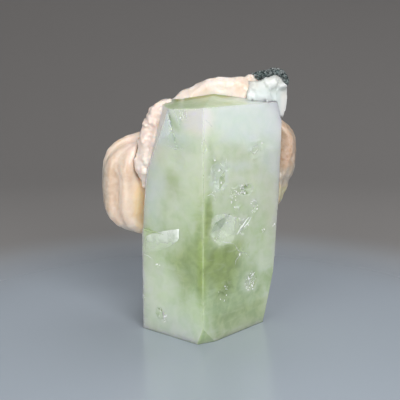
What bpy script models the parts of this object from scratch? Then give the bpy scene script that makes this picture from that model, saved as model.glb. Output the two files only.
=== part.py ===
"""Green apophyllite crystal standing on its foot, with stilbite sheaves grown on its back.

Lengths are in millimetres and turned into metres where a mesh is made. X points right, Y away
from the front edge, Z up. The origin is the centre of the crystal's flat foot.
"""

import math
import random

import bmesh
import bpy
from mathutils import Matrix, Vector, noise

MM = 0.001
GAP = 0.3  # left between solids that touch

# The prism, turned so that one edge faces the front
LEFT_SIDE = 21.8
RIGHT_SIDE = 29.0
TURN = math.radians(41.1)
PRISM_TOP = 61.0
BLOCK = 90.0  # half size of the block that the planes cut

# The sheaf of upright stilbite blades that bulges out at the prism's left
SHEAF_MIDDLE = 38.6
SHEAF_HEIGHT = 28.8
SHEAF_REACH = 18.4
BLADE_THICK = 4.4
ROOT = 2.2  # how far a blade reaches behind the line that its sheaf opens from
RIM_SET_IN = 0.9  # how far a blade's faces end inside its rim

# The stilbite plates that stand behind the prism and rise over its top
CREST_TOP = 67.4
CREST_FOOT = 33.0
PLATE_THICK = 4.6
CAP_TOP = 68.2  # the pale crystal on the prism's top right corner

left_way = Vector((-math.cos(TURN), math.sin(TURN), 0.0))  # from the front edge along the left face
right_way = Vector((math.sin(TURN), math.cos(TURN), 0.0))  # from the front edge along the right face
front_edge = -left_way * (LEFT_SIDE / 2) - right_way * (RIGHT_SIDE / 2)
up = Vector((0.0, 0.0, 1.0))


def clear_scene():
    for thing in list(bpy.data.objects):
        bpy.data.objects.remove(thing)


def material(name, colour, roughness, transmission=0.0):
    made = bpy.data.materials.new(name)
    made.use_nodes = True
    shader = made.node_tree.nodes["Principled BSDF"]
    shader.inputs["Base Color"].default_value = (*colour, 1.0)
    shader.inputs["Roughness"].default_value = roughness
    shader.inputs["Metallic"].default_value = 0.0
    shader.inputs["IOR"].default_value = 1.54
    shader.inputs["Transmission Weight"].default_value = transmission
    made.diffuse_color = (*colour, 1.0)
    return made


def object_from(name, shape):
    """A mesh object from a bmesh in millimetres, in triangles that point out.

    A cut needs flat faces, and the sides of blades and rolls are warped until they are triangles.
    """
    bmesh.ops.triangulate(shape, faces=shape.faces)
    bmesh.ops.recalc_face_normals(shape, faces=shape.faces)
    bmesh.ops.scale(shape, vec=(MM, MM, MM), verts=shape.verts)
    mesh = bpy.data.meshes.new(name)
    shape.to_mesh(mesh)
    shape.free()
    made = bpy.data.objects.new(name, mesh)
    bpy.context.scene.collection.objects.link(made)
    return made


def combine(target, operation, others):
    """Joins others to target or cuts them from it with an exact Boolean, and removes them."""
    operands = bpy.data.collections.new("operands")
    bpy.context.scene.collection.children.link(operands)
    for other in others:
        operands.objects.link(other)
    modifier = target.modifiers.new(operation.lower(), "BOOLEAN")
    modifier.operation = operation
    modifier.solver = "EXACT"
    modifier.operand_type = "COLLECTION"
    modifier.collection = operands
    graph = bpy.context.evaluated_depsgraph_get()
    result = bpy.data.meshes.new_from_object(target.evaluated_get(graph))
    target.modifiers.clear()
    target.data = result
    for other in others:
        bpy.data.objects.remove(other)
    bpy.data.collections.remove(operands)
    return target


def drop_crumbs(shape):
    """Keeps the largest body of a mesh and deletes crumbs that a cut left loose or touching."""
    unseen = set(shape.faces)
    bodies = []
    while unseen:
        front = [unseen.pop()]
        body = list(front)
        while front:
            for edge in front.pop().edges:
                if len(edge.link_faces) != 2:
                    continue
                for other in edge.link_faces:
                    if other in unseen:
                        unseen.remove(other)
                        front.append(other)
                        body.append(other)
        bodies.append(body)
    bodies.sort(key=len)
    for body in bodies[:-1]:
        bmesh.ops.delete(shape, geom=body, context="FACES")


def tidy(thing, shortest=0.03):
    """Drops crumbs and merges edges too short to see."""
    shape = bmesh.new()
    shape.from_mesh(thing.data)
    bmesh.ops.triangulate(shape, faces=shape.faces)
    drop_crumbs(shape)
    bmesh.ops.dissolve_degenerate(shape, edges=shape.edges, dist=shortest * MM)
    bmesh.ops.triangulate(shape, faces=shape.faces)
    drop_crumbs(shape)
    shape.to_mesh(thing.data)
    shape.free()


def block_cut_by(planes, grow=0.0):
    """The convex solid inside planes, each a point and an outward normal, moved out by grow."""
    shape = bmesh.new()
    bmesh.ops.create_cube(shape, size=2 * BLOCK)
    for point, normal in planes:
        outward = Vector(normal).normalized()
        cut = bmesh.ops.bisect_plane(
            shape,
            geom=list(shape.verts) + list(shape.edges) + list(shape.faces),
            plane_co=Vector(point) + outward * grow,
            plane_no=outward,
            clear_outer=True,
        )
        rim = [piece for piece in cut["geom_cut"] if isinstance(piece, bmesh.types.BMEdge)]
        if rim:
            bmesh.ops.contextual_create(shape, geom=rim)
    bmesh.ops.remove_doubles(shape, verts=shape.verts, dist=0.001)
    return shape


def on_right_face(along, height, out=0.0):
    """A point on the front right face, by its distance from the front edge."""
    return front_edge + right_way * along - left_way * out + up * height


def on_left_face(along, height, out=0.0):
    """A point on the front left face, by its distance from the front edge."""
    return front_edge + left_way * along - right_way * out + up * height


def prism_planes():
    """The faces of the apophyllite prism, as points and outward normals."""
    front_top = front_edge + up * PRISM_TOP
    back_left = left_way * (LEFT_SIDE / 2)
    back_right = right_way * (RIGHT_SIDE / 2)
    return [
        ((0.0, 0.0, 0.0), -up),
        (front_edge, -right_way),
        (front_edge, -left_way),
        (back_left, left_way),
        # the back right face leans out, more near the foot than above
        (back_right, right_way - up * 0.095),
        (back_right + right_way * 2.05, right_way - up * 0.036),
        # two low slopes make the top
        (front_top, (-0.161, -0.091, 0.983)),
        (front_top, (0.139, -0.135, 0.981)),
        # steep pyramid faces take off the left corner above and the right corner below
        ((-12.8, 1.5, 59.2), (-0.946, -0.186, 0.264)),
        ((-16.9, -3.2, 36.0), (-0.976, -0.20, 0.080)),
        ((18.4, 3.8, 12.9), (0.976, 0.0, -0.218)),
        # small faces at the front foot and at the top's right corner
        (on_right_face(0.0, 4.6), (0.436, -0.826, -0.363)),
        ((20.3, 4.9, 60.2), (0.62, -0.22, 0.75)),
        # the face that the stilbite grew on
        ((0.0, 6.4, PRISM_TOP), (0.05, 0.95, 0.30)),
    ]


def grown_prism():
    return object_from("grown_prism", block_cut_by(prism_planes(), GAP))


def strip_above_ledge():
    """The thin wedge taken off the left face above a low ledge."""
    inward = Matrix.Rotation(math.radians(-4.0), 3, "Z") @ right_way
    planes = [
        (on_left_face(12.9, 45.0), inward),
        (on_left_face(16.0, 27.6), (0.16, 0.2, -0.96)),
        (on_left_face(16.0, 80.0), up),
        (on_left_face(30.0, 45.0), left_way),
        (on_left_face(2.0, 45.0), -left_way),
        (on_left_face(16.0, 45.0, 8.0), -right_way),
    ]
    return object_from("strip_above_ledge", block_cut_by(planes))


def chip(centre, outward, half_width, half_height, depth, seed):
    """A cutter for a broken-out flake: a low uneven pyramid that points into the face."""
    chance = random.Random(seed)
    corners = 7
    across = outward.cross(up).normalized()
    shape = bmesh.new()
    rim = []
    for i in range(corners):
        angle = 2 * math.pi * (i + chance.uniform(-0.28, 0.28)) / corners
        reach = chance.uniform(0.8, 1.15)
        spot = across * (half_width * reach * math.cos(angle))
        spot += up * (half_height * reach * math.sin(angle))
        rim.append(centre + spot)
    lean = across * (half_width * chance.uniform(-0.35, 0.35))
    lean += up * (half_height * chance.uniform(-0.35, 0.35))
    for point in rim:
        shape.verts.new(point)
        shape.verts.new(point + outward * (depth * 2.0) + (point - centre) * 0.6)
    shape.verts.new(centre + lean - outward * depth)
    shape.verts.new(centre - lean * 0.8 - outward * (depth * 0.7))
    bmesh.ops.convex_hull(shape, input=shape.verts)
    return object_from("chip", shape)


def apophyllite():
    """The green prism with its ledge and broken-out flakes."""
    made = object_from("apophyllite_crystal", block_cut_by(prism_planes()))
    cutters = [strip_above_ledge()]
    flakes_right = [
        # distance from the front edge, height, half width, half height, depth
        (8.6, 29.4, 5.4, 4.2, 1.1),
        (6.0, 43.6, 3.0, 3.6, 0.6),
        (17.6, 38.6, 3.6, 1.6, 0.6),
        (20.2, 13.2, 2.8, 2.4, 0.6),
        (0.2, 51.5, 0.9, 2.0, 0.5),
    ]
    for number, (along, height, wide, high, deep) in enumerate(flakes_right):
        cutters.append(chip(on_right_face(along, height), -left_way, wide, high, deep, 40 + number))
    flakes_left = [
        (15.3, 5.6, 1.8, 1.9, 0.5),
        (9.0, 47.0, 3.6, 2.4, 0.35),
    ]
    for number, (along, height, wide, high, deep) in enumerate(flakes_left):
        cutters.append(chip(on_left_face(along, height), -right_way, wide, high, deep, 60 + number))
    return combine(made, "DIFFERENCE", cutters)


def blade(pivot, heading, reach, height, thick, middle, lean=0.0, square=3.2, slope=0.0, grow=0.0):
    """One stilbite blade: an upright plate with a round end that runs out from its pivot.

    Its outline is half a super-ellipse with a narrower root behind the pivot, and its two faces
    are set in at the rim. slope lowers the outer end of its top, and lean turns it about its
    own length.
    """
    steps = 12
    half = height / 2 + grow
    length = reach + grow
    root_half = half * 0.6
    rim = [(-ROOT - grow, root_half)]
    for step in range(steps + 1):
        angle = math.pi / 2 - math.pi * step / steps
        across = max(math.cos(angle), 0.0) ** (2 / square)
        rise = math.copysign(abs(math.sin(angle)) ** (2 / square), math.sin(angle))
        rim.append((length * across, half * rise - slope * across * max(rise, 0.0)))
    rim.append((-ROOT - grow, -root_half))
    inset = 1.0 - RIM_SET_IN / half
    outer = thick / 2 + grow
    full_from = 0.7 * length  # nearer the pivot the blade thins to half
    shape = bmesh.new()
    rings = []
    for size, side in ((inset, -1.0), (1.0, -0.4), (1.0, 0.4), (inset, 1.0)):
        ring = []
        for x, z in rim:
            width = outer * (0.5 + 0.5 * min(1.0, max(x, 0.0) / full_from))
            ring.append(shape.verts.new((x * size, width * side, z * size)))
        rings.append(ring)
    close_rings(shape, rings)
    place = (
        Matrix.Translation(Vector((pivot[0], pivot[1], middle)))
        @ Matrix.Rotation(math.radians(heading), 4, "Z")
        @ Matrix.Rotation(math.radians(lean), 4, "X")
    )
    bmesh.ops.transform(shape, matrix=place, verts=shape.verts)
    return object_from("blade", shape)


def close_rings(shape, rings):
    """Joins rings of equal count by quads and closes the first and the last."""
    count = len(rings[0])
    for first, second in zip(rings, rings[1:]):
        for i in range(count):
            after = (i + 1) % count
            shape.faces.new((first[i], first[after], second[after], second[i]))
    shape.faces.new(rings[0])
    shape.faces.new(rings[-1])


def fan(name, pivot, blades, height, thick, middle, slope, seed, grow=0.0):
    """Blades that open like a book from one upright line, fused in one solid.

    blades lists each one's heading and reach.
    """
    chance = random.Random(seed)
    made = []
    for heading, reach in blades:
        made.append(
            blade(
                pivot,
                heading,
                reach,
                height * chance.uniform(0.92, 1.0),
                thick,
                middle + chance.uniform(-0.7, 0.7),
                lean=chance.uniform(-3.0, 3.0),
                slope=slope,
                grow=grow,
            )
        )
    made[0].name = name
    return combine(made[0], "UNION", made[1:])


def left_sheaf(grow=0.0):
    """The big round sheaf that bulges out at the left of the prism."""
    blades = [
        (206, 0.80),
        (193, 0.99),
        (180, 1.00),
        (167, 0.97),
        (154, 0.98),
        (141, 0.92),
        (127, 0.86),
    ]
    return fan(
        "stilbite_left_sheaf",
        (-10.8, 7.4),
        [(heading, share * SHEAF_REACH) for heading, share in blades],
        SHEAF_HEIGHT,
        BLADE_THICK,
        SHEAF_MIDDLE,
        slope=1.2,
        seed=4,
        grow=grow,
    )


def right_sheaf(grow=0.0):
    """The smaller sheaf that shows past the prism's right edge."""
    sheaf = fan(
        "stilbite_right_sheaf",
        (13.0, 12.5),
        [(-10, 11.4), (7, 11.9), (24, 11.6), (42, 11.0), (62, 9.6)],
        height=22.0,
        thick=4.0,
        middle=47.6,
        slope=2.6,
        seed=9,
        grow=grow,
    )
    lower = [
        # (x, y, z, half depth, half width), lumps that taper down the prism's back
        (17.6, 12.8, 42.0, 4.0, 4.2),
        (18.4, 12.4, 37.6, 4.8, 3.7),
        (17.7, 12.2, 34.0, 4.2, 3.3),
        (16.6, 12.4, 31.0, 2.8, 2.4),
    ]
    return combine(sheaf, "UNION", [rough_roll(lower, around=16, bump=0.24, seed=31, grow=grow)])


def plate(outline, front, thick, turn=0.0, grow=0.0, inset=1.2):
    """An upright plate from its outline in X and Z, with its rims set in."""
    middle = Vector((sum(x for x, z in outline), sum(z for x, z in outline))) / len(outline)
    shape = bmesh.new()
    rings = []
    rim = inset * 1.2  # depth over which the rims are set in
    for inward, depth in ((inset, -grow), (0.0, rim), (0.0, thick - rim), (inset, thick + grow)):
        ring = []
        for x, z in outline:
            point = Vector((x, z))
            point += (point - middle).normalized() * (grow - inward)
            ring.append(shape.verts.new((point.x - middle.x, depth, point.y)))
        rings.append(ring)
    close_rings(shape, rings)
    place = Matrix.Translation(Vector((middle.x, front, 0.0))) @ Matrix.Rotation(
        math.radians(turn), 4, "Z"
    )
    bmesh.ops.transform(shape, matrix=place, verts=shape.verts)
    return object_from("plate", shape)


def nugget(centre, radii, seed, points=11, grow=0.0):
    """A small blocky crystal: the hull of a few points spread over an ellipsoid."""
    chance = random.Random(seed)
    shape = bmesh.new()
    for i in range(points):
        height = 1.0 - 2.0 * (i + 0.5) / points
        around = i * math.pi * (3.0 - math.sqrt(5.0)) + chance.uniform(-0.3, 0.3)
        flat = math.sqrt(1.0 - height * height)
        reach = chance.uniform(0.9, 1.1)
        spot = Vector(
            (
                (radii[0] * reach + grow) * flat * math.cos(around),
                (radii[1] * reach + grow) * flat * math.sin(around),
                (radii[2] * reach + grow) * height,
            )
        )
        shape.verts.new(Vector(centre) + spot)
    hull = bmesh.ops.convex_hull(shape, input=shape.verts)
    loose = [piece for piece in hull["geom_interior"] if isinstance(piece, bmesh.types.BMVert)]
    bmesh.ops.delete(shape, geom=loose, context="VERTS")
    return object_from("nugget", shape)


def rough_roll(path, around=14, bump=0.2, droop=0.0, seed=0, grow=0.0):
    """A lumpy band along a path of (x, y, z, half depth, half height), as fused grains form.

    droop lowers its front and back sides.
    """
    chance = random.Random(seed)
    stations = []
    between = 3
    for first, second in zip(path, path[1:]):
        for step in range(between):
            share = step / between
            stations.append([a + (b - a) * share for a, b in zip(first, second)])
    stations.append(list(path[-1]))
    shape = bmesh.new()
    rings = []
    for number, station in enumerate(stations):
        centre = Vector(station[:3])
        before = Vector(stations[max(number - 1, 0)][:3])
        after = Vector(stations[min(number + 1, len(stations) - 1)][:3])
        along = (after - before).normalized()
        across = along.cross(Vector((0.0, 1.0, 0.0))).normalized()
        deep = across.cross(along)
        share = 2.0 * number / (len(stations) - 1) - 1.0
        taper = (1.0 - 0.75 * abs(share) ** 4) ** 0.5
        ring = []
        for i in range(around):
            angle = 2 * math.pi * i / around
            lump = 1.0 + chance.uniform(-bump, bump) * 0.45
            lump += bump * noise.noise(centre * 0.4 + Vector((math.cos(angle), math.sin(angle), 0.0)))
            depth = (station[3] * taper * lump + grow) * math.cos(angle)
            rise = (station[4] * taper * lump + grow) * math.sin(angle)
            spot = centre + deep * depth + across * rise
            spot.z -= droop * depth * depth
            ring.append(shape.verts.new(spot))
        rings.append(ring)
    close_rings(shape, rings)
    return object_from("roll", shape)


def crest_outline(top, foot, left, right):
    """A crest plate's outline from the front: low at its left, flat at its top right."""
    rise = top - 61.5
    return [
        (left, 50.0),
        (left - 0.5, 60.8),
        (left + 3.6, 61.5 + rise * 0.28),
        (left + 8.6, 61.5 + rise * 0.62),
        (left + 12.4, 61.5 + rise * 0.95),
        (left + 15.2, top),
        (right - 2.0, top),
        (right, top - 2.2),
        (right + 0.6, 50.0),
        (right - 3.5, foot + 2.0),
        (right - 8.0, foot),
        (left + 4.0, foot + 2.5),
    ]


def band_beside_prism(grow):
    """The granular stilbite from the crest's left end down the prism's left edge."""
    path = [
        # (x, y, z, half depth, half width)
        (-10.4, 2.4, 62.2, 1.8, 1.2),
        (-12.6, 1.8, 61.0, 2.4, 1.7),
        (-14.2, 2.2, 58.9, 2.8, 2.3),
        (-15.4, 2.6, 56.0, 3.0, 2.6),
        (-16.2, 2.4, 51.6, 3.2, 2.8),
        (-17.0, 1.6, 47.0, 3.2, 2.6),
        (-17.6, 0.6, 42.4, 2.8, 2.2),
        (-17.8, 0.4, 38.0, 2.4, 1.7),
    ]
    return rough_roll(path, bump=0.3, seed=5, grow=grow)


def lumps_on_back_left(grow):
    """Lumpy columns that cover the prism's back left face behind the band."""
    corner = left_way * (LEFT_SIDE / 2 + 0.8) - right_way * (RIGHT_SIDE / 2)
    made = []
    for number, along in enumerate((7.0, 11.5, 16.5)):
        foot = corner + right_way * along + up * (39.0 - number * 1.5)
        head = corner + right_way * (along + 1.5) + up * (57.5 + number)
        waist = (foot + head) / 2 + left_way * (0.2 + 0.3 * number)
        wide = 3.1 + 0.4 * number
        path = [
            (*foot, 0.7 * wide, 0.7 * wide),
            (*waist, wide, wide),
            (*head, 0.6 * wide, 0.6 * wide),
        ]
        made.append(rough_roll(path, bump=0.26, seed=14 + number, grow=grow))
    return made


def back_fan(pivot, headings, reach, height, middle, seed, grow):
    """A short fan of blades on the specimen's back."""
    chance = random.Random(seed)
    made = []
    for heading in headings:
        made.append(
            blade(
                pivot,
                heading + chance.uniform(-2, 2),
                reach * chance.uniform(0.88, 1.0),
                height * chance.uniform(0.88, 1.0),
                BLADE_THICK,
                middle + chance.uniform(-1.0, 1.0),
                lean=chance.uniform(-4.0, 4.0),
                slope=2.5,
                grow=grow,
            )
        )
    return made


def crest(grow=0.0):
    """The plates behind the prism, the granular stilbite at its left and the back fans."""
    made = [
        plate(crest_outline(CREST_TOP, CREST_FOOT + 10.0, -12.3, 11.6), 3.8, PLATE_THICK, -3, grow),
        plate(crest_outline(CREST_TOP - 0.8, CREST_FOOT + 4.0, -11.0, 13.0), 7.4, PLATE_THICK, 4, grow),
        plate(crest_outline(CREST_TOP - 2.4, CREST_FOOT, -9.0, 12.0), 11.0, PLATE_THICK, -5, grow),
        band_beside_prism(grow),
        nugget((12.0, 8.4, 66.6), (1.7, 2.4, 1.7), 27, grow=grow),
    ]
    made += lumps_on_back_left(grow)
    made += back_fan((-5.5, 9.0), (97, 113, 129, 146), 12.6, 23.0, 51.0, 12, grow)
    made += back_fan((4.6, 9.5), (48, 65, 82, 99, 117), 12.8, 26.0, 45.5, 15, grow)
    made[0].name = "stilbite_crest"
    return combine(made[0], "UNION", made[1:])


def pale_cap(grow=0.0):
    """The pale broken crystal on the prism's top right corner, with a ledge down its edge."""
    body = [
        ((15.7, 3.4, 62.0), (0.42, -0.88, 0.20)),
        ((20.8, 6.0, 62.0), (0.76, -0.63, 0.15)),
        ((15.0, 4.2, 66.0), (0.05, -0.80, 0.60)),
        ((11.0, 5.0, 63.0), (-0.97, -0.20, 0.14)),
        ((12.4, 5.0, 65.7), (-0.66, -0.30, 0.69)),
        ((18.4, 6.0, CAP_TOP), (-0.36, -0.06, 0.93)),
        ((18.6, 6.0, CAP_TOP), (0.70, -0.14, 0.70)),
        ((21.4, 7.0, 63.0), (0.97, 0.20, 0.05)),
        ((17.0, 12.2, 62.0), (0.10, 0.98, 0.15)),
        ((15.0, 5.0, 60.6), -up),
    ]
    made = object_from("pale_crystal_cap", block_cut_by(body, grow))
    ledge = [
        (19.4, 65.4),
        (20.6, 66.1),
        (22.3, 64.9),
        (22.6, 62.2),
        (22.1, 59.6),
        (21.2, 56.9),
        (19.8, 57.6),
        (18.8, 61.5),
    ]
    lumps = [
        plate(ledge, 5.0, 5.6, 14, grow, inset=0.5),
        nugget((13.4, 6.4, 64.9), (2.2, 3.6, 1.9), 51, points=16, grow=grow),
        nugget((17.2, 5.2, 66.2), (2.0, 2.4, 1.7), 52, points=14, grow=grow),
    ]
    return combine(made, "UNION", lumps)


def dark_crust():
    """The thin crust of dark grains over the pale cap and the crest's right end."""
    path = [
        # (x, y, z, half depth, half height), from the crest's end to the cap's right shoulder
        (11.6, 8.8, 67.2, 2.2, 0.9),
        (13.6, 8.8, 68.0, 2.7, 1.3),
        (16.4, 8.8, 68.4, 2.9, 1.1),
        (18.5, 8.7, 69.0, 2.9, 1.2),
        (20.1, 8.6, 68.4, 2.7, 1.2),
        (21.2, 8.4, 67.0, 2.4, 1.0),
        (21.8, 8.2, 65.6, 1.9, 0.7),
    ]
    made = rough_roll(path, around=26, bump=0.22, droop=0.05, seed=8)
    made.name = "dark_matrix_crust"
    return made


def build():
    clear_scene()
    green = material("apophyllite_green", (0.50, 0.64, 0.42), 0.12, 0.7)
    peach = material("stilbite_peach", (0.84, 0.66, 0.54), 0.42)
    cream = material("stilbite_cream", (0.88, 0.77, 0.70), 0.40)
    tan = material("stilbite_tan", (0.70, 0.50, 0.37), 0.45)
    pale = material("pale_crystal", (0.76, 0.78, 0.76), 0.30, 0.3)
    dark = material("dark_grains", (0.03, 0.05, 0.045), 0.35)

    pieces = [
        (apophyllite(), [], green),
        (crest(), [grown_prism()], cream),
        (left_sheaf(), [grown_prism(), crest(GAP)], peach),
        (right_sheaf(), [grown_prism(), crest(GAP)], tan),
        (pale_cap(), [grown_prism(), crest(GAP), right_sheaf(GAP)], pale),
        (dark_crust(), [grown_prism(), crest(GAP), right_sheaf(GAP), pale_cap(GAP)], dark),
    ]
    for made, cutters, finish in pieces:
        if cutters:
            combine(made, "DIFFERENCE", cutters)
        tidy(made)
        made.data.materials.clear()
        made.data.materials.append(finish)


build()
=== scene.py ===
import math

import bmesh
import bpy
from mathutils import Matrix, Vector, noise
from mathutils.bvhtree import BVHTree


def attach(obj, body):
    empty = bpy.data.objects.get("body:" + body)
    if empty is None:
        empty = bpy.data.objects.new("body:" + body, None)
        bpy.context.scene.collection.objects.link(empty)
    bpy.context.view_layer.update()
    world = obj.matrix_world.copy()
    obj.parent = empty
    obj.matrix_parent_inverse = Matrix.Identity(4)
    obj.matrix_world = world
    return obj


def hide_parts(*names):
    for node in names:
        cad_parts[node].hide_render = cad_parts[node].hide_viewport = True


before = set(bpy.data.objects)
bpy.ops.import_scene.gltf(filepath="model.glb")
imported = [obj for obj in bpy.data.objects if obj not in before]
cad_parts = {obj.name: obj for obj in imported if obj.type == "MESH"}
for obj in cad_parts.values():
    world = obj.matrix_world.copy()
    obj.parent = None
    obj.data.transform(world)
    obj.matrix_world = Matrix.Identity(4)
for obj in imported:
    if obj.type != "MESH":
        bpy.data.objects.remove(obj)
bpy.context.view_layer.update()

mm = 0.001  # places below are in millimetres, as on the specimen
up = Vector((0.0, 0.0, 1.0))

# the prism's front edge and the directions along its two front faces
prism = {
    "leftSide": 21.8,
    "rightSide": 29.0,
    "turn": math.radians(41.1),
}
leftWay = Vector((-math.cos(prism["turn"]), math.sin(prism["turn"]), 0.0))
rightWay = Vector((math.sin(prism["turn"]), math.cos(prism["turn"]), 0.0))
frontEdge = -leftWay * (prism["leftSide"] / 2) - rightWay * (prism["rightSide"] / 2)
rightNormal = -leftWay
leftNormal = -rightWay
faces = {
    "right": {"way": rightWay, "inward": leftWay, "normal": rightNormal},
    "left": {"way": leftWay, "inward": rightWay, "normal": leftNormal},
}


def onFace(face, along, height):
    # a point on a front face, by its distance from the front edge and its height
    return frontEdge + faces[face]["way"] * along + up * height


def smooth(low, high, value):
    # rises softly from 0 to 1 between two values, or falls where the first is the higher one
    share = min(max((value - low) / (high - low), 0.0), 1.0)
    return share * share * (3.0 - 2.0 * share)


# meshes

def mergedCopy(node):
    shape = bmesh.new()
    shape.from_mesh(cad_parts[node].data)
    bmesh.ops.scale(shape, vec=(1 / mm, 1 / mm, 1 / mm), verts=shape.verts)
    bmesh.ops.remove_doubles(shape, verts=shape.verts, dist=0.002)
    return shape


def meshFrom(name, shape):
    mesh = bpy.data.meshes.new(name)
    shape.to_mesh(mesh)
    shape.free()
    return mesh


def helperObject(name, mesh):
    thing = bpy.data.objects.new(name, mesh)
    bpy.context.scene.collection.objects.link(thing)
    return thing


def evaluatedMesh(thing):
    graph = bpy.context.evaluated_depsgraph_get()
    return bpy.data.meshes.new_from_object(thing.evaluated_get(graph))


def remeshed(mesh, voxel, rounds):
    # one even skin over a mesh in millimetres, softened by a few rounds of smoothing
    thing = helperObject("remeshing", mesh)
    remesh = thing.modifiers.new("remesh", "REMESH")
    remesh.mode = "VOXEL"
    remesh.voxel_size = voxel
    soften = thing.modifiers.new("soften", "SMOOTH")
    soften.iterations = rounds
    made = evaluatedMesh(thing)
    bpy.data.objects.remove(thing)
    return made


def closedUp(mesh, reach, voxel, rounds):
    # swells a mesh, skins it and shrinks it again, so that narrow gaps close
    swollen = displaced(remeshed(mesh, voxel, 1), lambda point, normal: reach)
    skinned = remeshed(swollen, voxel, rounds)
    return displaced(skinned, lambda point, normal: -reach)


def joined(name, meshes):
    shape = bmesh.new()
    for mesh in meshes:
        shape.from_mesh(mesh)
    return meshFrom(name, shape)


def displaced(mesh, relief):
    shape = bmesh.new()
    shape.from_mesh(mesh)
    shape.normal_update()
    for vertex in shape.verts:
        vertex.co += vertex.normal * relief(vertex.co, vertex.normal)
    shape.to_mesh(mesh)
    shape.free()
    return mesh


def paintPoints(mesh, name, rule):
    # keeps a number on every point of a mesh, for a material or a scatter to read
    layer = mesh.attributes.new(name, "FLOAT", "POINT")
    for point, vertex in zip(layer.data, mesh.vertices):
        point.value = rule(vertex.co, vertex.normal)
    return mesh


def tintPoints(mesh, rule):
    # keeps a colour on every point of a mesh
    layer = mesh.attributes.new("tint", "FLOAT_COLOR", "POINT")
    for point, vertex in zip(layer.data, mesh.vertices):
        point.color = (*rule(vertex.co, vertex.normal), 1.0)
    return mesh


acrossAndBack = Vector((1, 0, 0)), Vector((0, 1, 0))


def softZone(centre, size, colour, deep, soft, strength, rim="broad", lean=0, boxy=False, ways=acrossAndBack):
    # where a colour lies, in directions that go along and into the surface, and how its rim fades
    return {
        "centre": Vector(centre), "size": (size[0], deep, size[1]), "colour": Vector(colour), "soft": soft,
        "strength": strength, "rim": rim, "lean": math.radians(lean), "boxy": boxy, "ways": ways,
    }


def paintedOver(colour, zones, point):
    # lays one soft zone after another over a colour at one point
    wobble = {
        "broad": noise.noise_vector(point * 0.16) * 2.2,
        "crisp": noise.noise_vector(point * 0.7) * 0.55,
    }
    for zone in zones:
        away = point + wobble[zone["rim"]] - zone["centre"]
        along, deep = (away.dot(way) for way in zone["ways"])
        across = along * math.cos(zone["lean"]) + away.z * math.sin(zone["lean"])
        upward = away.z * math.cos(zone["lean"]) - along * math.sin(zone["lean"])
        shares = [part / size for part, size in zip((across, deep, upward), zone["size"])]
        reach = max(abs(share) for share in shares) if zone["boxy"] else Vector(shares).length
        mask = (1.0 - smooth(1.0 - zone["soft"], 1.0 + zone["soft"], reach)) * zone["strength"]
        if mask > 0.0:
            colour = colour.lerp(zone["colour"], mask)
    return colour


def finishedPiece(name, mesh, material, nodes=(), sharp=None):
    # scales a mesh in millimetres to metres and makes it a piece of the specimen
    mesh.transform(Matrix.Scale(mm, 4))
    mesh.name = name
    mesh.materials.clear()
    mesh.materials.append(material)
    mesh.shade_smooth()
    if sharp is not None:
        mesh.set_sharp_from_angle(angle=math.radians(sharp))
    piece = helperObject(name, mesh)
    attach(piece, "root")
    if nodes:
        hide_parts(*nodes)
    return piece


# nodes

def setInputs(tree, node, inputs):
    # gives each input a value, or links an output to it
    for label, value in inputs.items():
        if isinstance(value, bpy.types.NodeSocket):
            tree.links.new(value, node.inputs[label])
        else:
            node.inputs[label].default_value = value


def addInputs(tree, values):
    # gives a group its inputs, each of its value's kind
    kinds = {float: "Float", int: "Int", bool: "Bool", tuple: "Vector"}
    for label, value in values.items():
        socket = "NodeSocket" + kinds[type(value)]
        tree.interface.new_socket(label, in_out="INPUT", socket_type=socket).default_value = value


def addNode(tree, kind, inputs=(), **settings):
    node = tree.nodes.new(kind)
    for label, value in settings.items():
        setattr(node, label, value)
    setInputs(tree, node, dict(inputs))
    return node


# a scatter of small crystals over a surface, as Geometry Nodes

def socketNamed(tree, label):
    for item in tree.interface.items_tree:
        if item.name == label and item.in_out == "INPUT":
            return item.identifier
    raise KeyError(label)


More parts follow.
